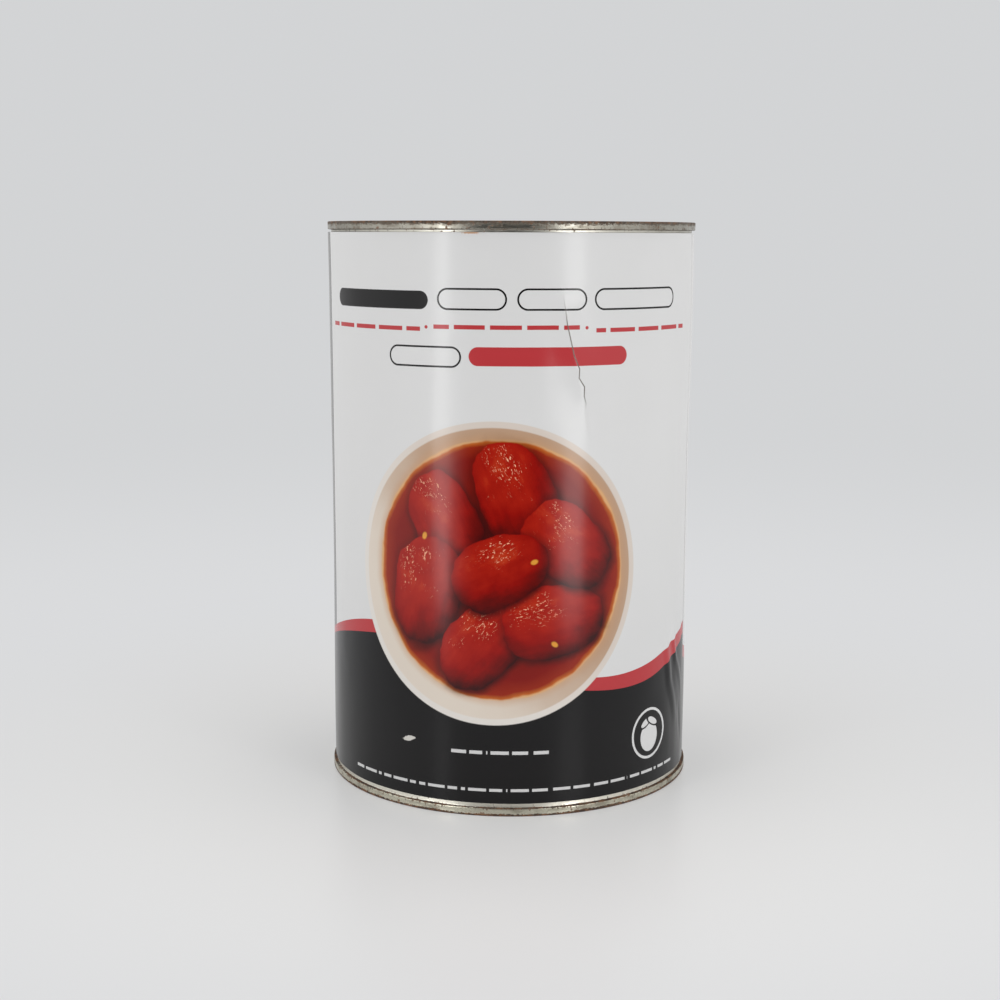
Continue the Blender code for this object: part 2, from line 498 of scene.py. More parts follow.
def turning_tree():
    tree, given = new_geometry_tree("Turned from an outline", TURN_VALUES)
    columns = given["Around"] + 1.0
    grid = add_node(tree, "GeometryNodeMeshGrid", {"Vertices X": columns, "Vertices Y": given["Rings"]})
    across, up, _ = split(tree, add_node(tree, "GeometryNodeInputPosition").outputs[0])
    ring = (up + 0.5) * (given["Rings"] - 1.0)
    sample = add_node(tree, "GeometryNodeSampleIndex", data_type="FLOAT_VECTOR", domain="POINT")
    feed(tree, sample.inputs["Geometry"], given["Geometry"])
    feed(tree, sample.inputs["Value"], add_node(tree, "GeometryNodeInputPosition").outputs[0])
    feed(tree, sample.inputs["Index"], ring.math("ROUND"))
    radius, _, height = split(tree, sample.outputs[0])
    angle = (across + 0.5) * (2 * math.pi)
    ring_place = joined(tree, angle.sine(), angle.cosine(), height * 40.0)
    waver = (noise(tree, ring_place, 3.5, detail=3.0) - 0.5) * given["Waver"] * 2.0
    near_rim = radius.ramp(0.0, 0.07)
    turned_radius = radius + (waver - given["Waver"]) * near_rim
    place = joined(tree, turned_radius * angle.sine(), -turned_radius * angle.cosine(), height)
    moved = add_node(tree, "GeometryNodeSetPosition", {"Geometry": grid.outputs[0], "Position": place})
    welded = add_node(tree, "GeometryNodeMergeByDistance", {"Geometry": moved.outputs[0], "Distance": WELD})
    outward = add_node(tree, "GeometryNodeFlipFaces", {0: welded.outputs[0]})
    end_tree(tree, outward.outputs[0], given["Material"])
    return tree


turning = turning_tree()
print("turning tree has", len(turning.nodes), "nodes")

# %% Turn the two ends and put them on the frame


def turned_end(name, outline):
    values = dict(TURN_VALUES, Rings=len(outline))
    piece = grown(name, turning, values, outline_mesh(name + "_outline", outline))
    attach(piece, "root")
    return piece


top_outline = [(radius, TIN_HEIGHT + height) for radius, height in end_outline()]
lid = turned_end("lid", top_outline)
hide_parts("top_end")
foot = turned_end("foot", [(radius, -height) for radius, height in reversed(end_outline())])
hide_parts("bottom_end")
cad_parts["can_body"].data.materials.clear()
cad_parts["can_body"].data.materials.append(tinplate)

# %% [markdown]
# ## The paper label
#
# The label is one sheet, a little longer than the way round. Its free edge lies on top on the
# right-hand side and the other end runs on below it, which leaves a step one sheet thick. The sheet
# is glued only at that lap, so it stands off the can at the upper left and upper right, and it is
# creased at the lower right and down from the title. All of that follows rules, so a geometry tree
# bends a grid: along the paper first, then round the can, then outwards by each fold and crease.
# The columns are crowded at the free edge, where the creases are.

# %% Sizes of the sheet
PAPER = 0.12
SNUG_RADIUS = BODY_RADIUS + 0.3 + PAPER
LAP_EDGE_DEG = 75.5
LAP_WIDTH = 12.0
LAP_LIFT = PAPER + 0.08
LAP_RUN_OUT = 7.0
LAP_ACROSS = math.radians(LAP_EDGE_DEG) * SNUG_RADIUS
SHEET_LENGTH = 2 * math.pi * SNUG_RADIUS + LAP_WIDTH
SHEET_HEIGHT = LABEL_TOP - LABEL_BOTTOM
CREASED_LENGTH = 95.0
CREASED_SHARE = 0.42
PAPER_INSET = 0.02
SLACK = 0.16

# Where the paper stands off the can: at the upper left, the upper right and near the foot
LEFT_LOOSE_DEG = -88.0
LEFT_LOOSE_SPREAD = 62.0
LEFT_LOOSE_FROM = 55.0
LEFT_LOOSE_BEND = 1.6
LEFT_LIFT = 0.88
RIGHT_LOOSE_DEG = 92.0
RIGHT_LOOSE_SPREAD = 50.0
RIGHT_LOOSE_HEIGHT = 203.0
RIGHT_LOOSE_REACH = 62.0
RIGHT_LIFT = 0.70
FOOT_LOOSE_HEIGHT = 30.0
FOOT_LOOSE_REACH = 50.0
FOOT_LIFT = 0.2

# The split down from the title, as (across, up) points on the paper
UPPER_SPLIT = ((19.9, 210.0), (21.5, 198.3), (24.4, 186.1), (26.6, 181.1), (26.5, 177.4))
LOWER_SPLIT = ((28.8, 174.0), (28.8, 170.3), (29.7, 167.4), (29.7, 164.0))
SPLIT_PATH = UPPER_SPLIT + LOWER_SPLIT
SPLIT_LEAN = -0.213

# The paper stands up in a crest along the split, and is flatter to the left of its lower part. Each
# pair says where the crest or the facet begins and where it is full.
CREST_HEIGHT = 0.90
CREST_REACH = 8.5
CREST_TOP = (211.0, 203.0)
CREST_FOOT = (160.0, 176.0)
FACET_TOUCH = 22.7
FACET_SHARE = 0.56
FACET_LEFT = (2.0, 15.0)
FACET_TOP = (192.0, 182.0)
FACET_FOOT = (150.0, 162.0)
FACET_EDGE_HALF = 0.8

# Creases at the lower right: path, height and half width, and the height span they fade out over
LONG_CREASE = ((77.5, 70.0), (79.0, 62.0), (80.5, 55.0), (82.0, 46.0), (85.5, 38.0), (89.0, 28.0))
NARROW_CREASE = ((85.0, 72.0), (86.5, 61.0), (88.5, 54.0), (92.0, 49.5), (96.0, 43.0), (98.5, 35.0))
LOW_CREASE = ((78.0, 38.0), (80.5, 26.0), (84.0, 14.0))
LOW_DENT = ((94.0, 32.0), (97.5, 18.0))
CREASES = (
    (LONG_CREASE, 0.56, 4.0, (48.0, 30.0)),
    (NARROW_CREASE, 0.42, 2.5, (54.0, 24.0)),
    (LOW_CREASE, 0.45, 13.0, (26.0, 22.0)),
    (LOW_DENT, -0.20, 2.6, (25.0, 14.0)),
)
print(f"sheet {SHEET_LENGTH:.1f} x {SHEET_HEIGHT:.1f} mm")

# %% Build the tree that wraps the sheet


def from_segment(x, y, start, end):
    """Distance from a straight stroke."""
    run = Vector(end) - Vector(start)
    along = ((x - start[0]) * run.x + (y - start[1]) * run.y) / run.length_squared
    along = along.most(0.0).least(1.0)
    off_x = x - start[0] - along * run.x
    off_y = y - start[1] - along * run.y
    return (off_x * off_x + off_y * off_y).root()


def from_path(x, y, points):
    """Distance from a bent stroke."""
    nearest = None
    for start, end in zip(points, points[1:]):
        distance = from_segment(x, y, start, end)
        nearest = distance if nearest is None else nearest.least(distance)
    return nearest


def loose_lift(azimuth_deg, up):
    """How far the paper stands off, in millimetres, by the rule that shapes the solid label."""
    left_side = azimuth_deg.hump(LEFT_LOOSE_DEG, LEFT_LOOSE_SPREAD)
    right_side = azimuth_deg.wrapped(0.0, 360.0).hump(RIGHT_LOOSE_DEG, RIGHT_LOOSE_SPREAD)
    up_the_left = ((up - LEFT_LOOSE_FROM) / (LABEL_TOP - LEFT_LOOSE_FROM)).most(0.0) ** LEFT_LOOSE_BEND
    up_the_right = up.hump(RIGHT_LOOSE_HEIGHT, RIGHT_LOOSE_REACH)
    at_foot = up.hump(FOOT_LOOSE_HEIGHT, FOOT_LOOSE_REACH) * FOOT_LIFT
    left_lift = left_side * (up_the_left * LEFT_LIFT + at_foot)
    return left_lift + right_side * (up_the_right * RIGHT_LIFT + at_foot)


def split_relief(across, up):
    """The crest along the split, and the flat facet beside it, in millimetres."""
    near = (1.0 - from_path(across, up, SPLIT_PATH) / CREST_REACH).most(0.0)
    crest = near * near * up.ramp(*CREST_TOP) * up.ramp(*CREST_FOOT) * CREST_HEIGHT
    off_touch = across - FACET_TOUCH
    facet = off_touch * off_touch * (FACET_SHARE / (2 * SNUG_RADIUS))
    split_place = (up - SPLIT_PATH[-1][1]) * SPLIT_LEAN + SPLIT_PATH[-1][0]
    beside = across.ramp(*FACET_LEFT) * (across - split_place).ramp(FACET_EDGE_HALF, -FACET_EDGE_HALF)
    return crest + facet * beside * up.ramp(*FACET_TOP) * up.ramp(*FACET_FOOT)


def crease_relief(across, up):
    """Ridges and valleys where the paper is creased, in millimetres."""
    relief = split_relief(across, up)
    for path, height, width, (middle, reach) in CREASES:
        ridge = from_path(across, up, path).ramp(width, 0.0)
        relief = relief + ridge * up.hump(middle, reach) * height
    return relief


SHEET_VALUES = {"Columns": 400, "Rows": 118, "Snug radius": SNUG_RADIUS, "Material": tinplate}


def wrapping_tree():
    tree, given = new_geometry_tree("Sheet wrapped round a can", SHEET_VALUES)
    counts = {"Vertices X": given["Columns"], "Vertices Y": given["Rows"]}
    grid = add_node(tree, "GeometryNodeMeshGrid", counts)
    grid_x, grid_y, _ = split(tree, add_node(tree, "GeometryNodeInputPosition").outputs[0])
    share = grid_x + 0.5
    fine = share * (CREASED_LENGTH / CREASED_SHARE)
    coarse_rate = (SHEET_LENGTH - CREASED_LENGTH) / (1 - CREASED_SHARE)
    along = fine.most((share - CREASED_SHARE) * coarse_rate + CREASED_LENGTH)
    across = LAP_ACROSS - along
    up = (grid_y + 0.5) * SHEET_HEIGHT + LABEL_BOTTOM
    azimuth = across / given["Snug radius"]
    azimuth_deg = azimuth * math.degrees(1.0)
    lap = along.ramp(LAP_WIDTH + LAP_RUN_OUT, LAP_WIDTH) * LAP_LIFT
    slack_place = joined(tree, azimuth.sine() * SNUG_RADIUS, azimuth.cosine() * SNUG_RADIUS, up * 0.45)
    slack = noise(tree, slack_place, 0.035).ramp(0.3, 0.75) * SLACK
    near_lap = along.ramp(0.0, 3.0) * (SHEET_LENGTH - along).ramp(0.0, LAP_WIDTH + 6.0)
    relief = crease_relief(across, up) + slack * near_lap
    radius = (given["Snug radius"] + loose_lift(azimuth_deg, up) + lap + relief - PAPER_INSET) * MM
    place = joined(tree, radius * azimuth.sine(), -radius * azimuth.cosine(), up * MM)
    print_place = joined(tree, along / SHEET_LENGTH, grid_y + 0.5, 0.0)
    marked = add_node(
        tree,
        "GeometryNodeStoreNamedAttribute",
        {"Geometry": grid.outputs[0], "Name": "print", "Value": print_place},
        data_type="FLOAT2",
        domain="CORNER",
    )
    moved = add_node(tree, "GeometryNodeSetPosition", {"Geometry": marked.outputs[0], "Position": place})
    outward = add_node(tree, "GeometryNodeFlipFaces", {0: moved.outputs[0]})
    end_tree(tree, outward.outputs[0], given["Material"])
    return tree


wrapping = wrapping_tree()
print("wrapping tree has", len(wrapping.nodes), "nodes")

# %% [markdown]
# ## The print
#
# The print is worked out from its place on the flat sheet, in millimetres: `across` runs to the
# right from the middle of the front, and `up` runs from the foot of the tin. The sheet carries that
# place in its own UV map, so the ink follows the paper. Each field of colour is a rule. A wavy line
# divides white from red and black, rounded bars stand where the words were, and a dish of plum
# tomatoes seen from above fills the middle.

# %% Inks and shapes on the paper
PAPER_WHITE = (0.655, 0.654, 0.653)
PAPER_CLOUD = (0.648, 0.647, 0.645)
INK_BLACK = (0.0055, 0.005, 0.0055)
INK_RED = (0.445, 0.040, 0.046)
EDGE_SOFTNESS = 0.16
PRINT_REPEAT = 238.0
PRINT_LEFT = -128.0


def inside(distance, softness=EDGE_SOFTNESS):
    """1 where a signed distance is below zero, with a slightly soft printed edge."""
    return distance.ramp(softness / 2, -softness / 2)


def bar_distance(x, y, middle, half_size, rounding):
    """Signed distance from a bar with rounded corners."""
    off_x = abs(x - middle[0]) - (half_size[0] - rounding)
    off_y = abs(y - middle[1]) - (half_size[1] - rounding)
    far_x = off_x.most(0.0)
    far_y = off_y.most(0.0)
    return (far_x * far_x + far_y * far_y).root() + off_x.most(off_y).least(0.0) - rounding


def oval_distance(x, y, middle, half_size, turn_deg=0.0):
    """Distance in radii from the middle of an oval: 1 on its edge."""
    cosine = math.cos(math.radians(turn_deg))
    sine = math.sin(math.radians(turn_deg))
    off_x = x - middle[0]
    off_y = y - middle[1]
    long_way = (off_x * cosine + off_y * sine) / half_size[0]
    short_way = (off_y * cosine - off_x * sine) / half_size[1]
    return (long_way * long_way + short_way * short_way).root()


def dashes(x, length, gap, start=0.0):
    """1 on dashes of one length, 0 in the gaps between them."""
    step = length + gap
    return inside(abs((x - start).wrapped(-step / 2, step / 2)) - length / 2)


print("print helpers ready")

# %% [markdown]
# ### A tomato as a node group
#
# A peeled plum tomato printed on paper is an oval that is dark at its rim, red on its crown and
# wet with small highlights. One node group draws it over whatever lies below, with its middle,
# size and turn as inputs. The dish then uses the group once for each tomato.

# %% Build the tomato group
TOMATO_RAMP = (
    (0.00, (0.035, 0.003, 0.003)),
    (0.26, (0.130, 0.003, 0.002)),
    (0.52, (0.255, 0.004, 0.002)),
    (0.78, (0.352, 0.011, 0.004)),
    (1.00, (0.500, 0.048, 0.014)),
)
LIGHT_ON_PRINT = Vector((-0.30, 0.52, 0.80)).normalized()
WET_COLOUR = (0.90, 0.50, 0.31)
TOMATO_INPUTS = ("X", "Y", "Middle X", "Middle Y", "Half length", "Half width", "Turn")


def colour_ramp(tree, share, stops):
    node = add_node(tree, "ShaderNodeValToRGB", {0: share})
    ramp = node.color_ramp
    while len(ramp.elements) < len(stops):
        ramp.elements.new(0.5)
    for element, (place, colour) in zip(ramp.elements, stops):
        element.position = place
        element.color = (*colour, 1.0)
    return node.outputs[0]


def tomato_group():
    group = bpy.data.node_groups.new("Plum tomato", "ShaderNodeTree")
    group.interface.new_socket("Below", in_out="INPUT", socket_type="NodeSocketColor")
    for label in TOMATO_INPUTS:
        group.interface.new_socket(label, in_out="INPUT", socket_type="NodeSocketFloat")
    group.interface.new_socket("Colour", in_out="OUTPUT", socket_type="NodeSocketColor")
    sockets = group.nodes.new("NodeGroupInput").outputs
    given = {label: Number(group, sockets[label]) for label in TOMATO_INPUTS}
    cosine = given["Turn"].cosine()
    sine = given["Turn"].sine()
    off_x = given["X"] - given["Middle X"]
    off_y = given["Y"] - given["Middle Y"]
    place = joined(group, given["X"], given["Y"], given["Turn"] * 9.0)
    lumps = noise(group, place, 0.15) - 0.5
    uneven = (noise(group, place, 0.055) - 0.5) * 0.24 + lumps * 0.16
    long_mm = off_x * cosine + off_y * sine
    short_mm = off_y * cosine - off_x * sine
    long_way = long_mm / given["Half length"]
    short_way = short_mm / given["Half width"] * (1.0 + long_way * 0.08)
    distance = (abs(long_way) ** 2.5 + abs(short_way) ** 2.2) ** 0.42 + uneven
    crown = (1.0 - distance * distance).most(0.0).root()
    lit_long = cosine * LIGHT_ON_PRINT.x + sine * LIGHT_ON_PRINT.y
    lit_short = cosine * LIGHT_ON_PRINT.y - sine * LIGHT_ON_PRINT.x
    folds = (short_way * 5.0 + uneven * 14.0 + given["Turn"]).sine() * 0.05
    slope = long_way * lit_long + short_way * lit_short
    facing = slope + crown * LIGHT_ON_PRINT.z + folds
    flesh_place = joined(group, long_mm * 0.07, short_mm * 0.26, given["Turn"])
    fibres = noise(group, flesh_place, 1.0, detail=4.0, roughness=0.6) - 0.5
    mottle = noise(group, place, 0.16, detail=4.0) - 0.5
    shade = facing.ramp(-0.50, 1.10) * 0.80 + fibres * 0.34 + mottle * 0.34 + lumps * 0.25
    flesh = colour_ramp(group, shade, TOMATO_RAMP)
    sheen_place = joined(group, long_mm * 0.55, short_mm * 1.15, given["Turn"] * 5.0)
    glints = noise(group, sheen_place, 1.0, detail=3.0, roughness=0.65)
    patchy = noise(group, place, 0.11, detail=1.0) - 0.5
    wet_zone = (facing + patchy * 1.3).ramp(0.76, 1.08)
    film = abs(noise(group, sheen_place, 0.42) - 0.5).ramp(0.040, 0.0)
    film = film * noise(group, sheen_place, 1.3).ramp(0.54, 0.64)
    wet = (glints + wet_zone * 0.13).ramp(0.72, 0.79).most(film * 0.55) * wet_zone
    flesh = colour_mix(group, wet * 0.9, flesh, WET_COLOUR)
    shadow = distance.ramp(1.21, 0.97) * slope.ramp(0.75, -0.65, 0.25, 0.88)
    below = colour_mix(group, shadow, sockets["Below"], TOMATO_RAMP[0][1])
    drawn = colour_mix(group, distance.ramp(1.015, 0.98), below, flesh)
    group.links.new(drawn, group.nodes.new("NodeGroupOutput").inputs[0])
    return group


tomato = tomato_group()
print("tomato group has", len(tomato.nodes), "nodes")

# %% [markdown]
# ### The dish
#
# The dish is a pale ring with a paler lip. It is in shade at the top right and bright at the lower
# left, with an orange fringe where the oil of the sauce thins out at the wall. The tomatoes lie like
# petals round one in the middle, each a little different in size and turn.

# %% Draw the dish of tomatoes
DISH_MIDDLE = (-7.2, 99.3)
DISH_RADIUS = 61.4
SAUCE_MIDDLE = (2.0, 1.7)
SAUCE_RADIUS = 52.5
DISH_LIT = (0.665, 0.590, 0.510)
DISH_SHADED = (0.435, 0.275, 0.175)
DISH_LIP = (0.690, 0.655, 0.615)
DISH_NEAR_SAUCE = (0.52, 0.30, 0.17)
SAUCE_STOPS = (
    (0.00, (0.075, 0.005, 0.003)),
    (0.55, (0.140, 0.005, 0.002)),
    (0.86, (0.195, 0.005, 0.002)),
    (0.955, (0.265, 0.018, 0.004)),
    (0.985, (0.450, 0.110, 0.018)),
    (1.00, (0.640, 0.360, 0.160)),
)
SEED_COLOUR = (0.72, 0.33, 0.045)
SEED_SIZE = (1.7, 1.15)
SEEDS = (((14.5, 3.8), 20.0), ((-30.5, 13.0), 75.0), ((23.0, -30.0), -35.0))
MIDDLE_TOMATO = ((1.0, 0.0), (20.0, 14.5), 24.0)
PETALS = 6
PETAL_RING = 31.0
PETAL_FIRST_DEG = 78.0
PETAL_SIZE = (21.5, 14.8)
PETAL_SIZE_CHANGE = (0.03, -0.06, 0.02, -0.02, 0.00, -0.03)
PETAL_TURN_CHANGE = (38.0, -24.0, 62.0, -30.0, 48.0, -58.0)


def tomatoes():
    """Middle, half size and turn in degrees of each tomato, the lowest first."""
    laid = []
    for petal in range(PETALS):
        spoke = PETAL_FIRST_DEG + 360.0 / PETALS * petal
        ring = PETAL_RING * (1.0 + PETAL_SIZE_CHANGE[petal] * 0.8)
        middle = (ring * math.cos(math.radians(spoke)), ring * math.sin(math.radians(spoke)))
        size = [side * (1.0 + PETAL_SIZE_CHANGE[petal]) for side in PETAL_SIZE]
        laid.append((middle, size, spoke + PETAL_TURN_CHANGE[petal]))
    laid.append(MIDDLE_TOMATO)
    return laid


def draw_dish(tree, x, y, below):
    """The dish over what lies below it; x and y are from the middle of the dish."""
    from_middle = (x * x + y * y).root()
    place = joined(tree, x, y, 0.0)
    cloudy = noise(tree, place, 0.05, detail=3.0) - 0.5
    off_x = x - SAUCE_MIDDLE[0]
    off_y = y - SAUCE_MIDDLE[1]
    wobble = (noise(tree, place, 0.09) - 0.5) * 2.0
    from_sauce = ((off_x * off_x + off_y * off_y).root() + wobble) / SAUCE_RADIUS
    towards_shade = x + y * 0.85 + cloudy * 26.0
    shaded = towards_shade.ramp(-60.0, 25.0) * from_sauce.ramp(1.22, 1.0, 0.78, 1.0)
    ring = colour_mix(tree, shaded, DISH_LIT, DISH_SHADED)
    ring = colour_mix(tree, from_sauce.ramp(1.07, 1.0) * 0.5, ring, DISH_NEAR_SAUCE)
    lip = (from_middle - DISH_RADIUS).ramp(-2.9, -2.2) * (1.0 - shaded * 0.35)
    ring = colour_mix(tree, lip, ring, DISH_LIP)
    colour = colour_mix(tree, inside(from_middle - DISH_RADIUS, 0.5), below, ring)
    sauce = colour_ramp(tree, from_sauce + cloudy * 0.08, SAUCE_STOPS)
    colour = colour_mix(tree, from_sauce.ramp(1.015, 0.99), colour, sauce)
    for middle, half_size, turn_deg in tomatoes():
        drawn = add_node(tree, "ShaderNodeGroup", node_tree=tomato)
        feed(tree, drawn.inputs["Below"], colour)
        values = (off_x, off_y, *middle, *half_size, math.radians(turn_deg))
        for label, value in zip(TOMATO_INPUTS, values):
            feed(tree, drawn.inputs[label], value)
        colour = drawn.outputs[0]
    for middle, turn_deg in SEEDS:
        seed = oval_distance(off_x, off_y, middle, SEED_SIZE, turn_deg)
        colour = colour_mix(tree, seed.ramp(1.1, 0.6) * 0.9, colour, SEED_COLOUR)
    return colour


print("the dish holds", len(tomatoes()), "tomatoes")

# %% [markdown]
# ### Bands, bars and wear
#
# A tin without words still needs their weight on the page. Solid and outlined bars stand for the
# title lines, short dashes for the small lines, and a plain fruit in a ring for the badge. The
# wave is one sine, jogged where the paper is creased, and its red stripe is thickest to the right
# of the dish. Round the corner from the picture lie a dark grey band, near the left outline seen
# from the front, and a plain table of rules.

# %% Draw the bands, bars and badge
WAVE_LENGTH = 195.0
WAVE_SHIFT = 4.0
WAVE_MIDDLE = 65.9
WAVE_HEIGHT = 10.5
STRIPE_WIDTH = 5.5
STRIPE_THIN = ((-112.0, 46.0), 2.5)
STRIPE_THICK = ((70.0, 36.0), 1.4)
TUCKED_SPAN = (-340.0, -375.0)
TUCKED_DROP = 5.5

# Where the creased paper steps the wave: place, half width of the step, and how far it jumps
FOLDS = ((81.5, 1.6, 1.2), (88.0, 1.0, 0.9), (96.5, 2.0, 1.7))
FOLD_REACH = 5.0

# Bars in ink: middle, half size, and the width of the stroke or 0 for a filled bar
TITLE_BARS = (
    ((-61.2, 207.4), (27.2, 3.6), 0.0),
    ((-16.0, 208.0), (14.0, 4.3), 0.75),
    ((15.9, 208.0), (14.0, 4.3), 0.75),
    ((55.8, 208.0), (22.6, 4.3), 0.75),
    ((-36.2, 185.5), (16.2, 4.2), 0.75),
)
RED_BARS = (((15.8, 185.9), (32.8, 3.7), 0.0),)
RED_DASH_ROWS = (((-66.5, 196.2), 29.0), ((-2.4, 197.2), 29.2), ((61.0, 195.9), 27.0))
RED_DOTS = ((-34.8, 197.0), (29.9, 197.0))
WHITE_DASH_ROW = ((-4.2, 26.4), (20.0, 0.7))
FOOT_DASH_ROW = ((4.0, 10.7), (81.0, 0.6))
SMALL_LINE_HALF = 0.85
DOT_RADIUS = 0.7
BADGE_MIDDLE = (66.0, 27.0)
BADGE_RADIUS = 11.0
BADGE_LINE_HALF = 0.55
FRUIT_SIZE = (5.6, 6.4)
LEAF_SIZE = (3.3, 1.35)
LEAF_TURN_DEG = -28.0


def draw_bars(tree, x, y, colour, bars, ink):
    for middle, half_size, stroke in bars:
        distance = bar_distance(x, y, middle, half_size, half_size[1])
        if stroke:
            distance = abs(distance + stroke / 2) - stroke / 2
        colour = colour_mix(tree, inside(distance), colour, ink)
    return colour


def draw_small_lines(tree, x, y, colour):
    for middle, half_width in RED_DASH_ROWS:
        row = inside(bar_distance(x, y, middle, (half_width, SMALL_LINE_HALF), 0.1))
        colour = colour_mix(tree, row * dashes(x, 12.4, 2.0, middle[0]), colour, INK_RED)
    for middle in RED_DOTS:
        dot = oval_distance(x, y, middle, (DOT_RADIUS, DOT_RADIUS))
        colour = colour_mix(tree, dot.ramp(1.1, 0.9), colour, INK_RED)
    for middle, half_size in (WHITE_DASH_ROW, FOOT_DASH_ROW):
        row = inside(bar_distance(x, y, middle, half_size, 0.1))
        words = dashes(x, 7.4, 1.3, middle[0]) * dashes(x, 17.0, 1.6, middle[0] + 3.0)
        colour = colour_mix(tree, row * words * 0.9, colour, PAPER_WHITE)
    return colour


def draw_badge(tree, x, y, colour):
    """A plain fruit with two leaves inside a ring."""
    from_middle = oval_distance(x, y, BADGE_MIDDLE, (BADGE_RADIUS, BADGE_RADIUS))
    ring = abs(from_middle - 0.94) * BADGE_RADIUS - BADGE_LINE_HALF
    fruit = oval_distance(x, y, (BADGE_MIDDLE[0], BADGE_MIDDLE[1] - 1.4), FRUIT_SIZE).ramp(1.02, 0.98)
    colour = colour_mix(tree, inside(ring).most(fruit), colour, PAPER_WHITE)
    for side in (-1.0, 1.0):
        leaf_middle = (BADGE_MIDDLE[0] + 2.2 * side, BADGE_MIDDLE[1] + 5.0)
        leaf = oval_distance(x, y, leaf_middle, LEAF_SIZE, LEAF_TURN_DEG * side)
        colour = colour_mix(tree, leaf.ramp(1.5, 1.38), colour, INK_BLACK)
        colour = colour_mix(tree, leaf.ramp(1.05, 0.95), colour, PAPER_WHITE)
    return colour


def draw_bands(tree, across, up, colour):
    turn = (across + WAVE_SHIFT) * (2 * math.pi / WAVE_LENGTH)
    edge = WAVE_MIDDLE - turn.sine() * WAVE_HEIGHT - across.ramp(*TUCKED_SPAN) * TUCKED_DROP
    for place, half_width, jump in FOLDS:
        sharp = across.ramp(place - half_width, place + half_width)
        even = across.ramp(place - FOLD_REACH, place + FOLD_REACH)
        edge = edge + (sharp - even) * jump
    (thin_span, thinner), (thick_span, thicker) = STRIPE_THIN, STRIPE_THICK
    stripe = STRIPE_WIDTH - across.hump(*thin_span) * thinner + across.hump(*thick_span) * thicker
    colour = colour_mix(tree, inside(up - edge), colour, INK_RED)
    return colour_mix(tree, inside(up - edge + stripe), colour, INK_BLACK)


LEFT_DARK_BAND = (-118.0, -101.8)
LEFT_DARK_BAND_COLOUR = (0.095, 0.097, 0.098)
TABLE_MIDDLE = (-139.0, 130.0)
TABLE_HALF = (15.0, 40.0)
TABLE_CORNER = 1.5
TABLE_FRAME_HALF = 0.35
TABLE_ROW = 5.0
TABLE_RULE_HALF = 0.14


def draw_side_panel(tree, across, up, colour):
    """A dark grey band and a plain table of rules, both round the corner from the picture."""
    dark_band = across.ramp(LEFT_DARK_BAND[0], LEFT_DARK_BAND[0] + 0.3) * across.ramp(LEFT_DARK_BAND[1], LEFT_DARK_BAND[1] - 0.3)
    colour = colour_mix(tree, dark_band, colour, LEFT_DARK_BAND_COLOUR)
    from_table = bar_distance(across, up, TABLE_MIDDLE, TABLE_HALF, TABLE_CORNER)
    frame_line = inside(abs(from_table) - TABLE_FRAME_HALF)
    from_rule = abs((up - TABLE_MIDDLE[1]).wrapped(-TABLE_ROW / 2, TABLE_ROW / 2))
    rule = inside(from_rule - TABLE_RULE_HALF) * inside(from_table)
    return colour_mix(tree, frame_line.most(rule), colour, INK_BLACK)


print("bands, bars and badge ready")

# %% [markdown]
# ### Paper and varnish
#
# The sheet is coated paper: even white with a faint cloud, a smooth varnish that blurs reflections,
# and a very fine tooth. Wear goes on last: the split is a dark line, grey-brown fibre with painted
# shade in the crack, a small patch of ink is knocked off low on the left, and rust has bled into the
# top edge. A dark band along the free edge of the sheet is painted shadow of the step there, with
# some dirt.

# %% Make the label material
SPLIT_SHADE_AND_FIBRE = (0.085, 0.068, 0.052)
LAP_EDGE_SHADOW_AND_DIRT = (0.055, 0.052, 0.048)
CUT_EDGE_WIDTH = 0.6
RUST_STAIN = (0.50, 0.22, 0.07)
STAIN_MIDDLE = (-16.3, LABEL_TOP)
STAIN_SIZE = (4.2, 1.0)
SCUFF_COLOUR = (0.58, 0.56, 0.52)
SCUFF_MIDDLE = (-43.6, 28.9)
SCUFF_SIZE = (3.0, 1.1)
SCUFF_TURN_DEG = 14.0
VARNISH_IOR = 1.34
VARNISH_ROUGHNESS = 0.16
TOOTH_HEIGHT = 0.004 * MM


def draw_wear(tree, across, up, colour):
    place = joined(tree, across, up, 0.0)
    ragged = noise(tree, place, 0.9, detail=3.0) - 0.5
    split_line = from_path(across, up, SPLIT_PATH)
    faded = up.ramp(164.0, 172.0) * up.ramp(211.0, 196.0)
    # The split's dark line: painted shade in the crack, with grey-brown fibre.
    colour = colour_mix(tree, split_line.ramp(0.36, 0.10) * faded * 0.9, colour, SPLIT_SHADE_AND_FIBRE)
    scuff = oval_distance(across, up, SCUFF_MIDDLE, SCUFF_SIZE, SCUFF_TURN_DEG) + ragged * 1.1
    colour = colour_mix(tree, scuff.ramp(1.05, 0.9), colour, SCUFF_COLOUR)
    stain = oval_distance(across, up, STAIN_MIDDLE, STAIN_SIZE) + ragged * 1.6
    colour = colour_mix(tree, stain.ramp(1.1, 0.4) * 0.75, colour, RUST_STAIN)
    # A dark band along the free edge: painted shadow of the step, strongest near the top and low down, with
    # some dirt.
    cut_edge = across.ramp(LAP_ACROSS - CUT_EDGE_WIDTH - 0.15, LAP_ACROSS - CUT_EDGE_WIDTH)
    shadow_and_dirt_share = up.ramp(165.0, 140.0).most(up.ramp(226.0, 231.0)) * 0.75 + 0.35
    return colour_mix(tree, cut_edge * (shadow_and_dirt_share + ragged), colour, LAP_EDGE_SHADOW_AND_DIRT)


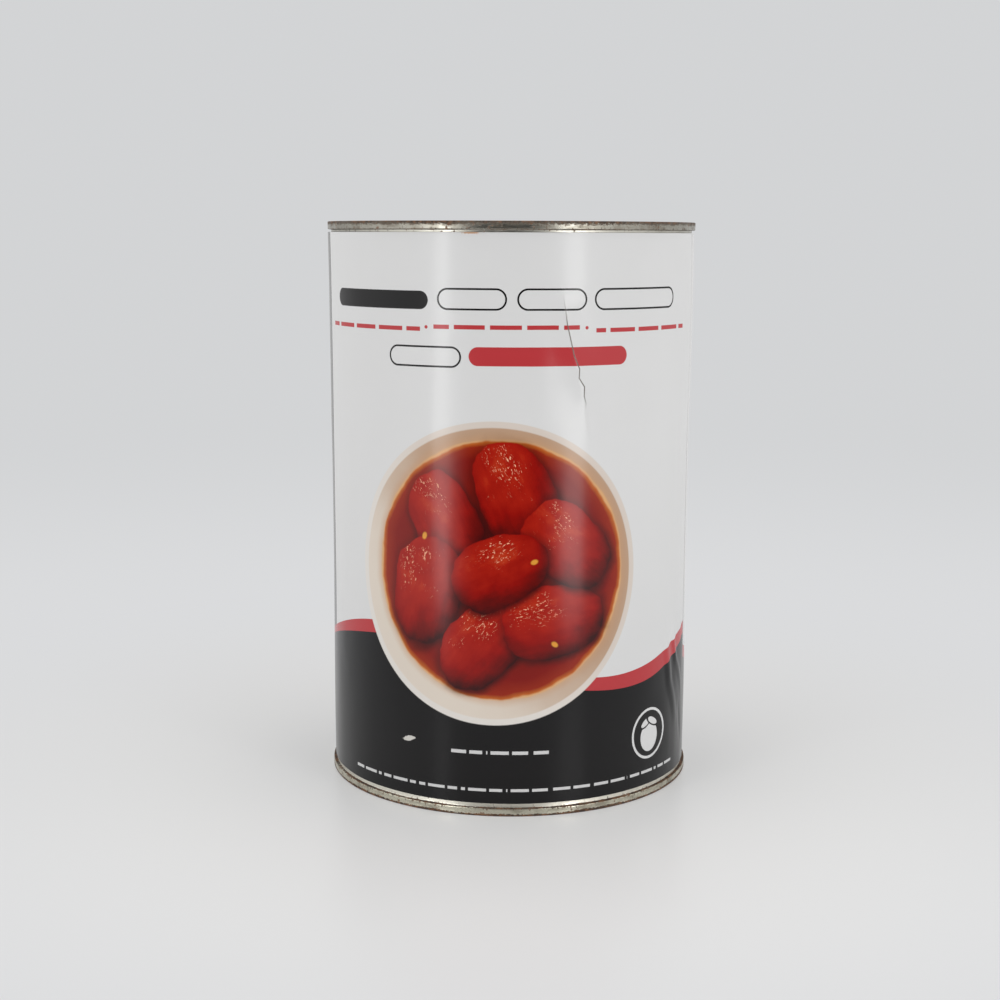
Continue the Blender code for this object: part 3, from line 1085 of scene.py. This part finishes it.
def label_material():
    material, tree, shader = new_material("label_paper")
    flat_place = add_node(tree, "ShaderNodeUVMap", uv_map="print").outputs[0]
    share_along, share_up, _ = split(tree, flat_place)
    across = LAP_ACROSS - share_along * SHEET_LENGTH
    up = share_up * SHEET_HEIGHT + LABEL_BOTTOM
    front = across.wrapped(PRINT_LEFT, PRINT_LEFT + PRINT_REPEAT)
    place = joined(tree, across, up, 0.0)
    cloud = noise(tree, place, 0.03, detail=3.0)
    colour = colour_mix(tree, cloud.ramp(0.3, 0.7), PAPER_CLOUD, PAPER_WHITE)
    colour = draw_side_panel(tree, across, up, colour)
    colour = draw_bands(tree, across, up, colour)
    colour = draw_bars(tree, front, up, colour, TITLE_BARS, INK_BLACK)
    colour = draw_bars(tree, front, up, colour, RED_BARS, INK_RED)
    colour = draw_small_lines(tree, front, up, colour)
    colour = draw_badge(tree, front, up, colour)
    colour = draw_dish(tree, front - DISH_MIDDLE[0], up - DISH_MIDDLE[1], colour)
    colour = draw_wear(tree, across, up, colour)
    feed(tree, shader.inputs["Base Color"], colour)
    shader.inputs["IOR"].default_value = VARNISH_IOR
    tooth = noise(tree, place, 1.6, detail=3.0, roughness=0.6)
    feed(tree, shader.inputs["Roughness"], VARNISH_ROUGHNESS + tooth * 0.06)
    add_bump(tree, shader, tooth, TOOTH_HEIGHT)
    return material


label_paper = label_material()
print("label material has", len(label_paper.node_tree.nodes), "nodes")

# %% Wrap the sheet round the can
sheet = grown("paper_label", wrapping, dict(SHEET_VALUES, Material=label_paper), thickness=PAPER * MM)
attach(sheet, "root")
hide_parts("label")

# %% [markdown]
# ## Floor and light
#
# The tin stands on a pale sweep inside a small light tent. Only the part of the sweep near the tin
# is real, where it takes the shadow, and it fades into the colour of the backdrop, so no horizon
# shows from any side. Even near the tin about a third of the floor glows: painted light that keeps
# the shadow pale. Two upright strip lamps stand at the front edges of the tent. Between them the
# tent is open and the room is dark: that gives the two upright gleams on the label and the dark
# middle of the metal rim.

# %% Lay the floor and the backdrop
BACKDROP_HIGH = (0.650, 0.658, 0.668)
BACKDROP_LOW = (0.702, 0.708, 0.720)
BACKDROP_RADIUS = 2.3
BACKDROP_TURN = (-0.10, -0.42)
FLOOR_COLOUR = (0.785, 0.78, 0.765)
FLOOR_ROUGHNESS = 0.30
FLOOR_RADIUS = 0.40
FLOOR_SIDES = 128
FLOOR_FADE = (0.10, 0.36)
# Share of glow in the floor next to the tin: painted light that lifts the shadow there.
FLOOR_GLOW_SHARE = 0.34


def disc_mesh(name, radius, sides):
    corners = []
    for side in range(sides):
        angle = 2 * math.pi * side / sides
        corners.append((radius * math.cos(angle), radius * math.sin(angle), 0.0))
    mesh = bpy.data.meshes.new(name)
    mesh.from_pydata(corners, [], [tuple(range(sides))])
    return mesh


def floor_material():
    """Matt paper with painted glow that pales the tin's shadow, fading into the backdrop's even glow."""
    material, tree, shader = new_material("floor")
    shader.inputs["Roughness"].default_value = FLOOR_ROUGHNESS
    feed(tree, shader.inputs["Base Color"], (*FLOOR_COLOUR, 1.0))
    x, y, _ = split(tree, add_node(tree, "ShaderNodeTexCoord").outputs["Object"])
    glow_share = (x * x + y * y).root().ramp(*FLOOR_FADE, FLOOR_GLOW_SHARE, 1.0)
    glow = add_node(tree, "ShaderNodeEmission", {"Color": (*BACKDROP_LOW, 1.0), "Strength": 1.0})
    mixed = add_node(tree, "ShaderNodeMixShader", {0: glow_share, 1: shader.outputs[0], 2: glow.outputs[0]})
    tree.links.new(mixed.outputs[0], tree.nodes["Material Output"].inputs["Surface"])
    return material


def backdrop_material():
    material, tree, _ = new_material("backdrop")
    z = split(tree, add_node(tree, "ShaderNodeTexCoord").outputs["Object"])[2]
    colour = colour_mix(tree, z.ramp(*BACKDROP_TURN), BACKDROP_HIGH, BACKDROP_LOW)
    glow = add_node(tree, "ShaderNodeEmission", {"Color": colour, "Strength": 1.0})
    tree.links.new(glow.outputs[0], tree.nodes["Material Output"].inputs["Surface"])
    return material


def add_stage():
    floor = bpy.data.objects.new("floor", disc_mesh("floor", FLOOR_RADIUS, FLOOR_SIDES))
    floor.data.materials.append(floor_material())
    bpy.context.scene.collection.objects.link(floor)
    bpy.ops.mesh.primitive_ico_sphere_add(subdivisions=5, radius=BACKDROP_RADIUS)
    backdrop = bpy.context.object
    backdrop.name = "backdrop"
    backdrop.data.materials.append(backdrop_material())
    backdrop.visible_diffuse = False
    backdrop.visible_glossy = False
    backdrop.visible_transmission = False
    backdrop.visible_shadow = False


add_stage()
print("stage laid")

# %% Light the tin
WORLD_LEFT = 1.12
WORLD_RIGHT = 0.98
WORLD_BACK = 0.73
WORLD_TOP = 0.80
WORLD_GAP = 0.06
GAP_LEFT_DEG = -31.0
GAP_RIGHT_DEG = 25.0
GAP_EDGE_DEG = 5.0

# Strip lamps: name, azimuth in degrees, size and brightness
STRIPS = (("strip_left", -40.0, (0.072, 0.38), 4.7), ("strip_right", 36.0, (0.105, 0.38), 4.5))
STRIP_DISTANCE = 0.46
STRIP_HEIGHT = 0.19


def light_world():
    """Bright tent walls, a dimmer back and top, and a dark opening towards the front."""
    world = bpy.data.worlds.new("studio")
    bpy.context.scene.world = world
    world.use_nodes = True
    tree = world.node_tree
    x, y, z = split(tree, add_node(tree, "ShaderNodeTexCoord").outputs["Generated"])
    azimuth = x.math("ARCTAN2", -y) * math.degrees(1.0)
    side = x.ramp(-0.3, 0.3, WORLD_LEFT, WORLD_RIGHT)
    light = side + (WORLD_BACK - side) * abs(azimuth).ramp(80.0, 125.0)
    opening = azimuth.ramp(GAP_LEFT_DEG - GAP_EDGE_DEG, GAP_LEFT_DEG + GAP_EDGE_DEG)
    opening = opening * azimuth.ramp(GAP_RIGHT_DEG + GAP_EDGE_DEG, GAP_RIGHT_DEG - GAP_EDGE_DEG)
    light = light + (WORLD_GAP - light) * opening
    light = light + (WORLD_TOP - light) * z.ramp(0.80, 0.95)
    feed(tree, tree.nodes["Background"].inputs["Color"], joined(tree, light, light, light))


def add_lamp(name, azimuth_deg, distance, height, size, radiance, upright=True):
    """A lamp panel at an azimuth from the front, facing the tin; radiance is its brightness."""
    azimuth = math.radians(azimuth_deg)
    data = bpy.data.lights.new(name, "AREA")
    data.shape = "RECTANGLE"
    data.size = size[0]
    data.size_y = size[1]
    data.energy = radiance * math.pi * size[0] * size[1]
    lamp = bpy.data.objects.new(name, data)
    lamp.location = (distance * math.sin(azimuth), -distance * math.cos(azimuth), height)
    if upright:
        lamp.rotation_euler = (math.pi / 2, 0.0, azimuth)
    bpy.context.scene.collection.objects.link(lamp)


light_world()
for lamp_name, lamp_azimuth_deg, lamp_size, lamp_radiance in STRIPS:
    add_lamp(lamp_name, lamp_azimuth_deg, STRIP_DISTANCE, STRIP_HEIGHT, lamp_size, lamp_radiance)
add_lamp("panel_top", 0.0, 0.05, 1.0, (0.8, 0.8), 0.7, upright=False)
bpy.context.scene.view_settings.view_transform = "Standard"
print("lights set")

# %% Finish
bpy.context.view_layer.update()
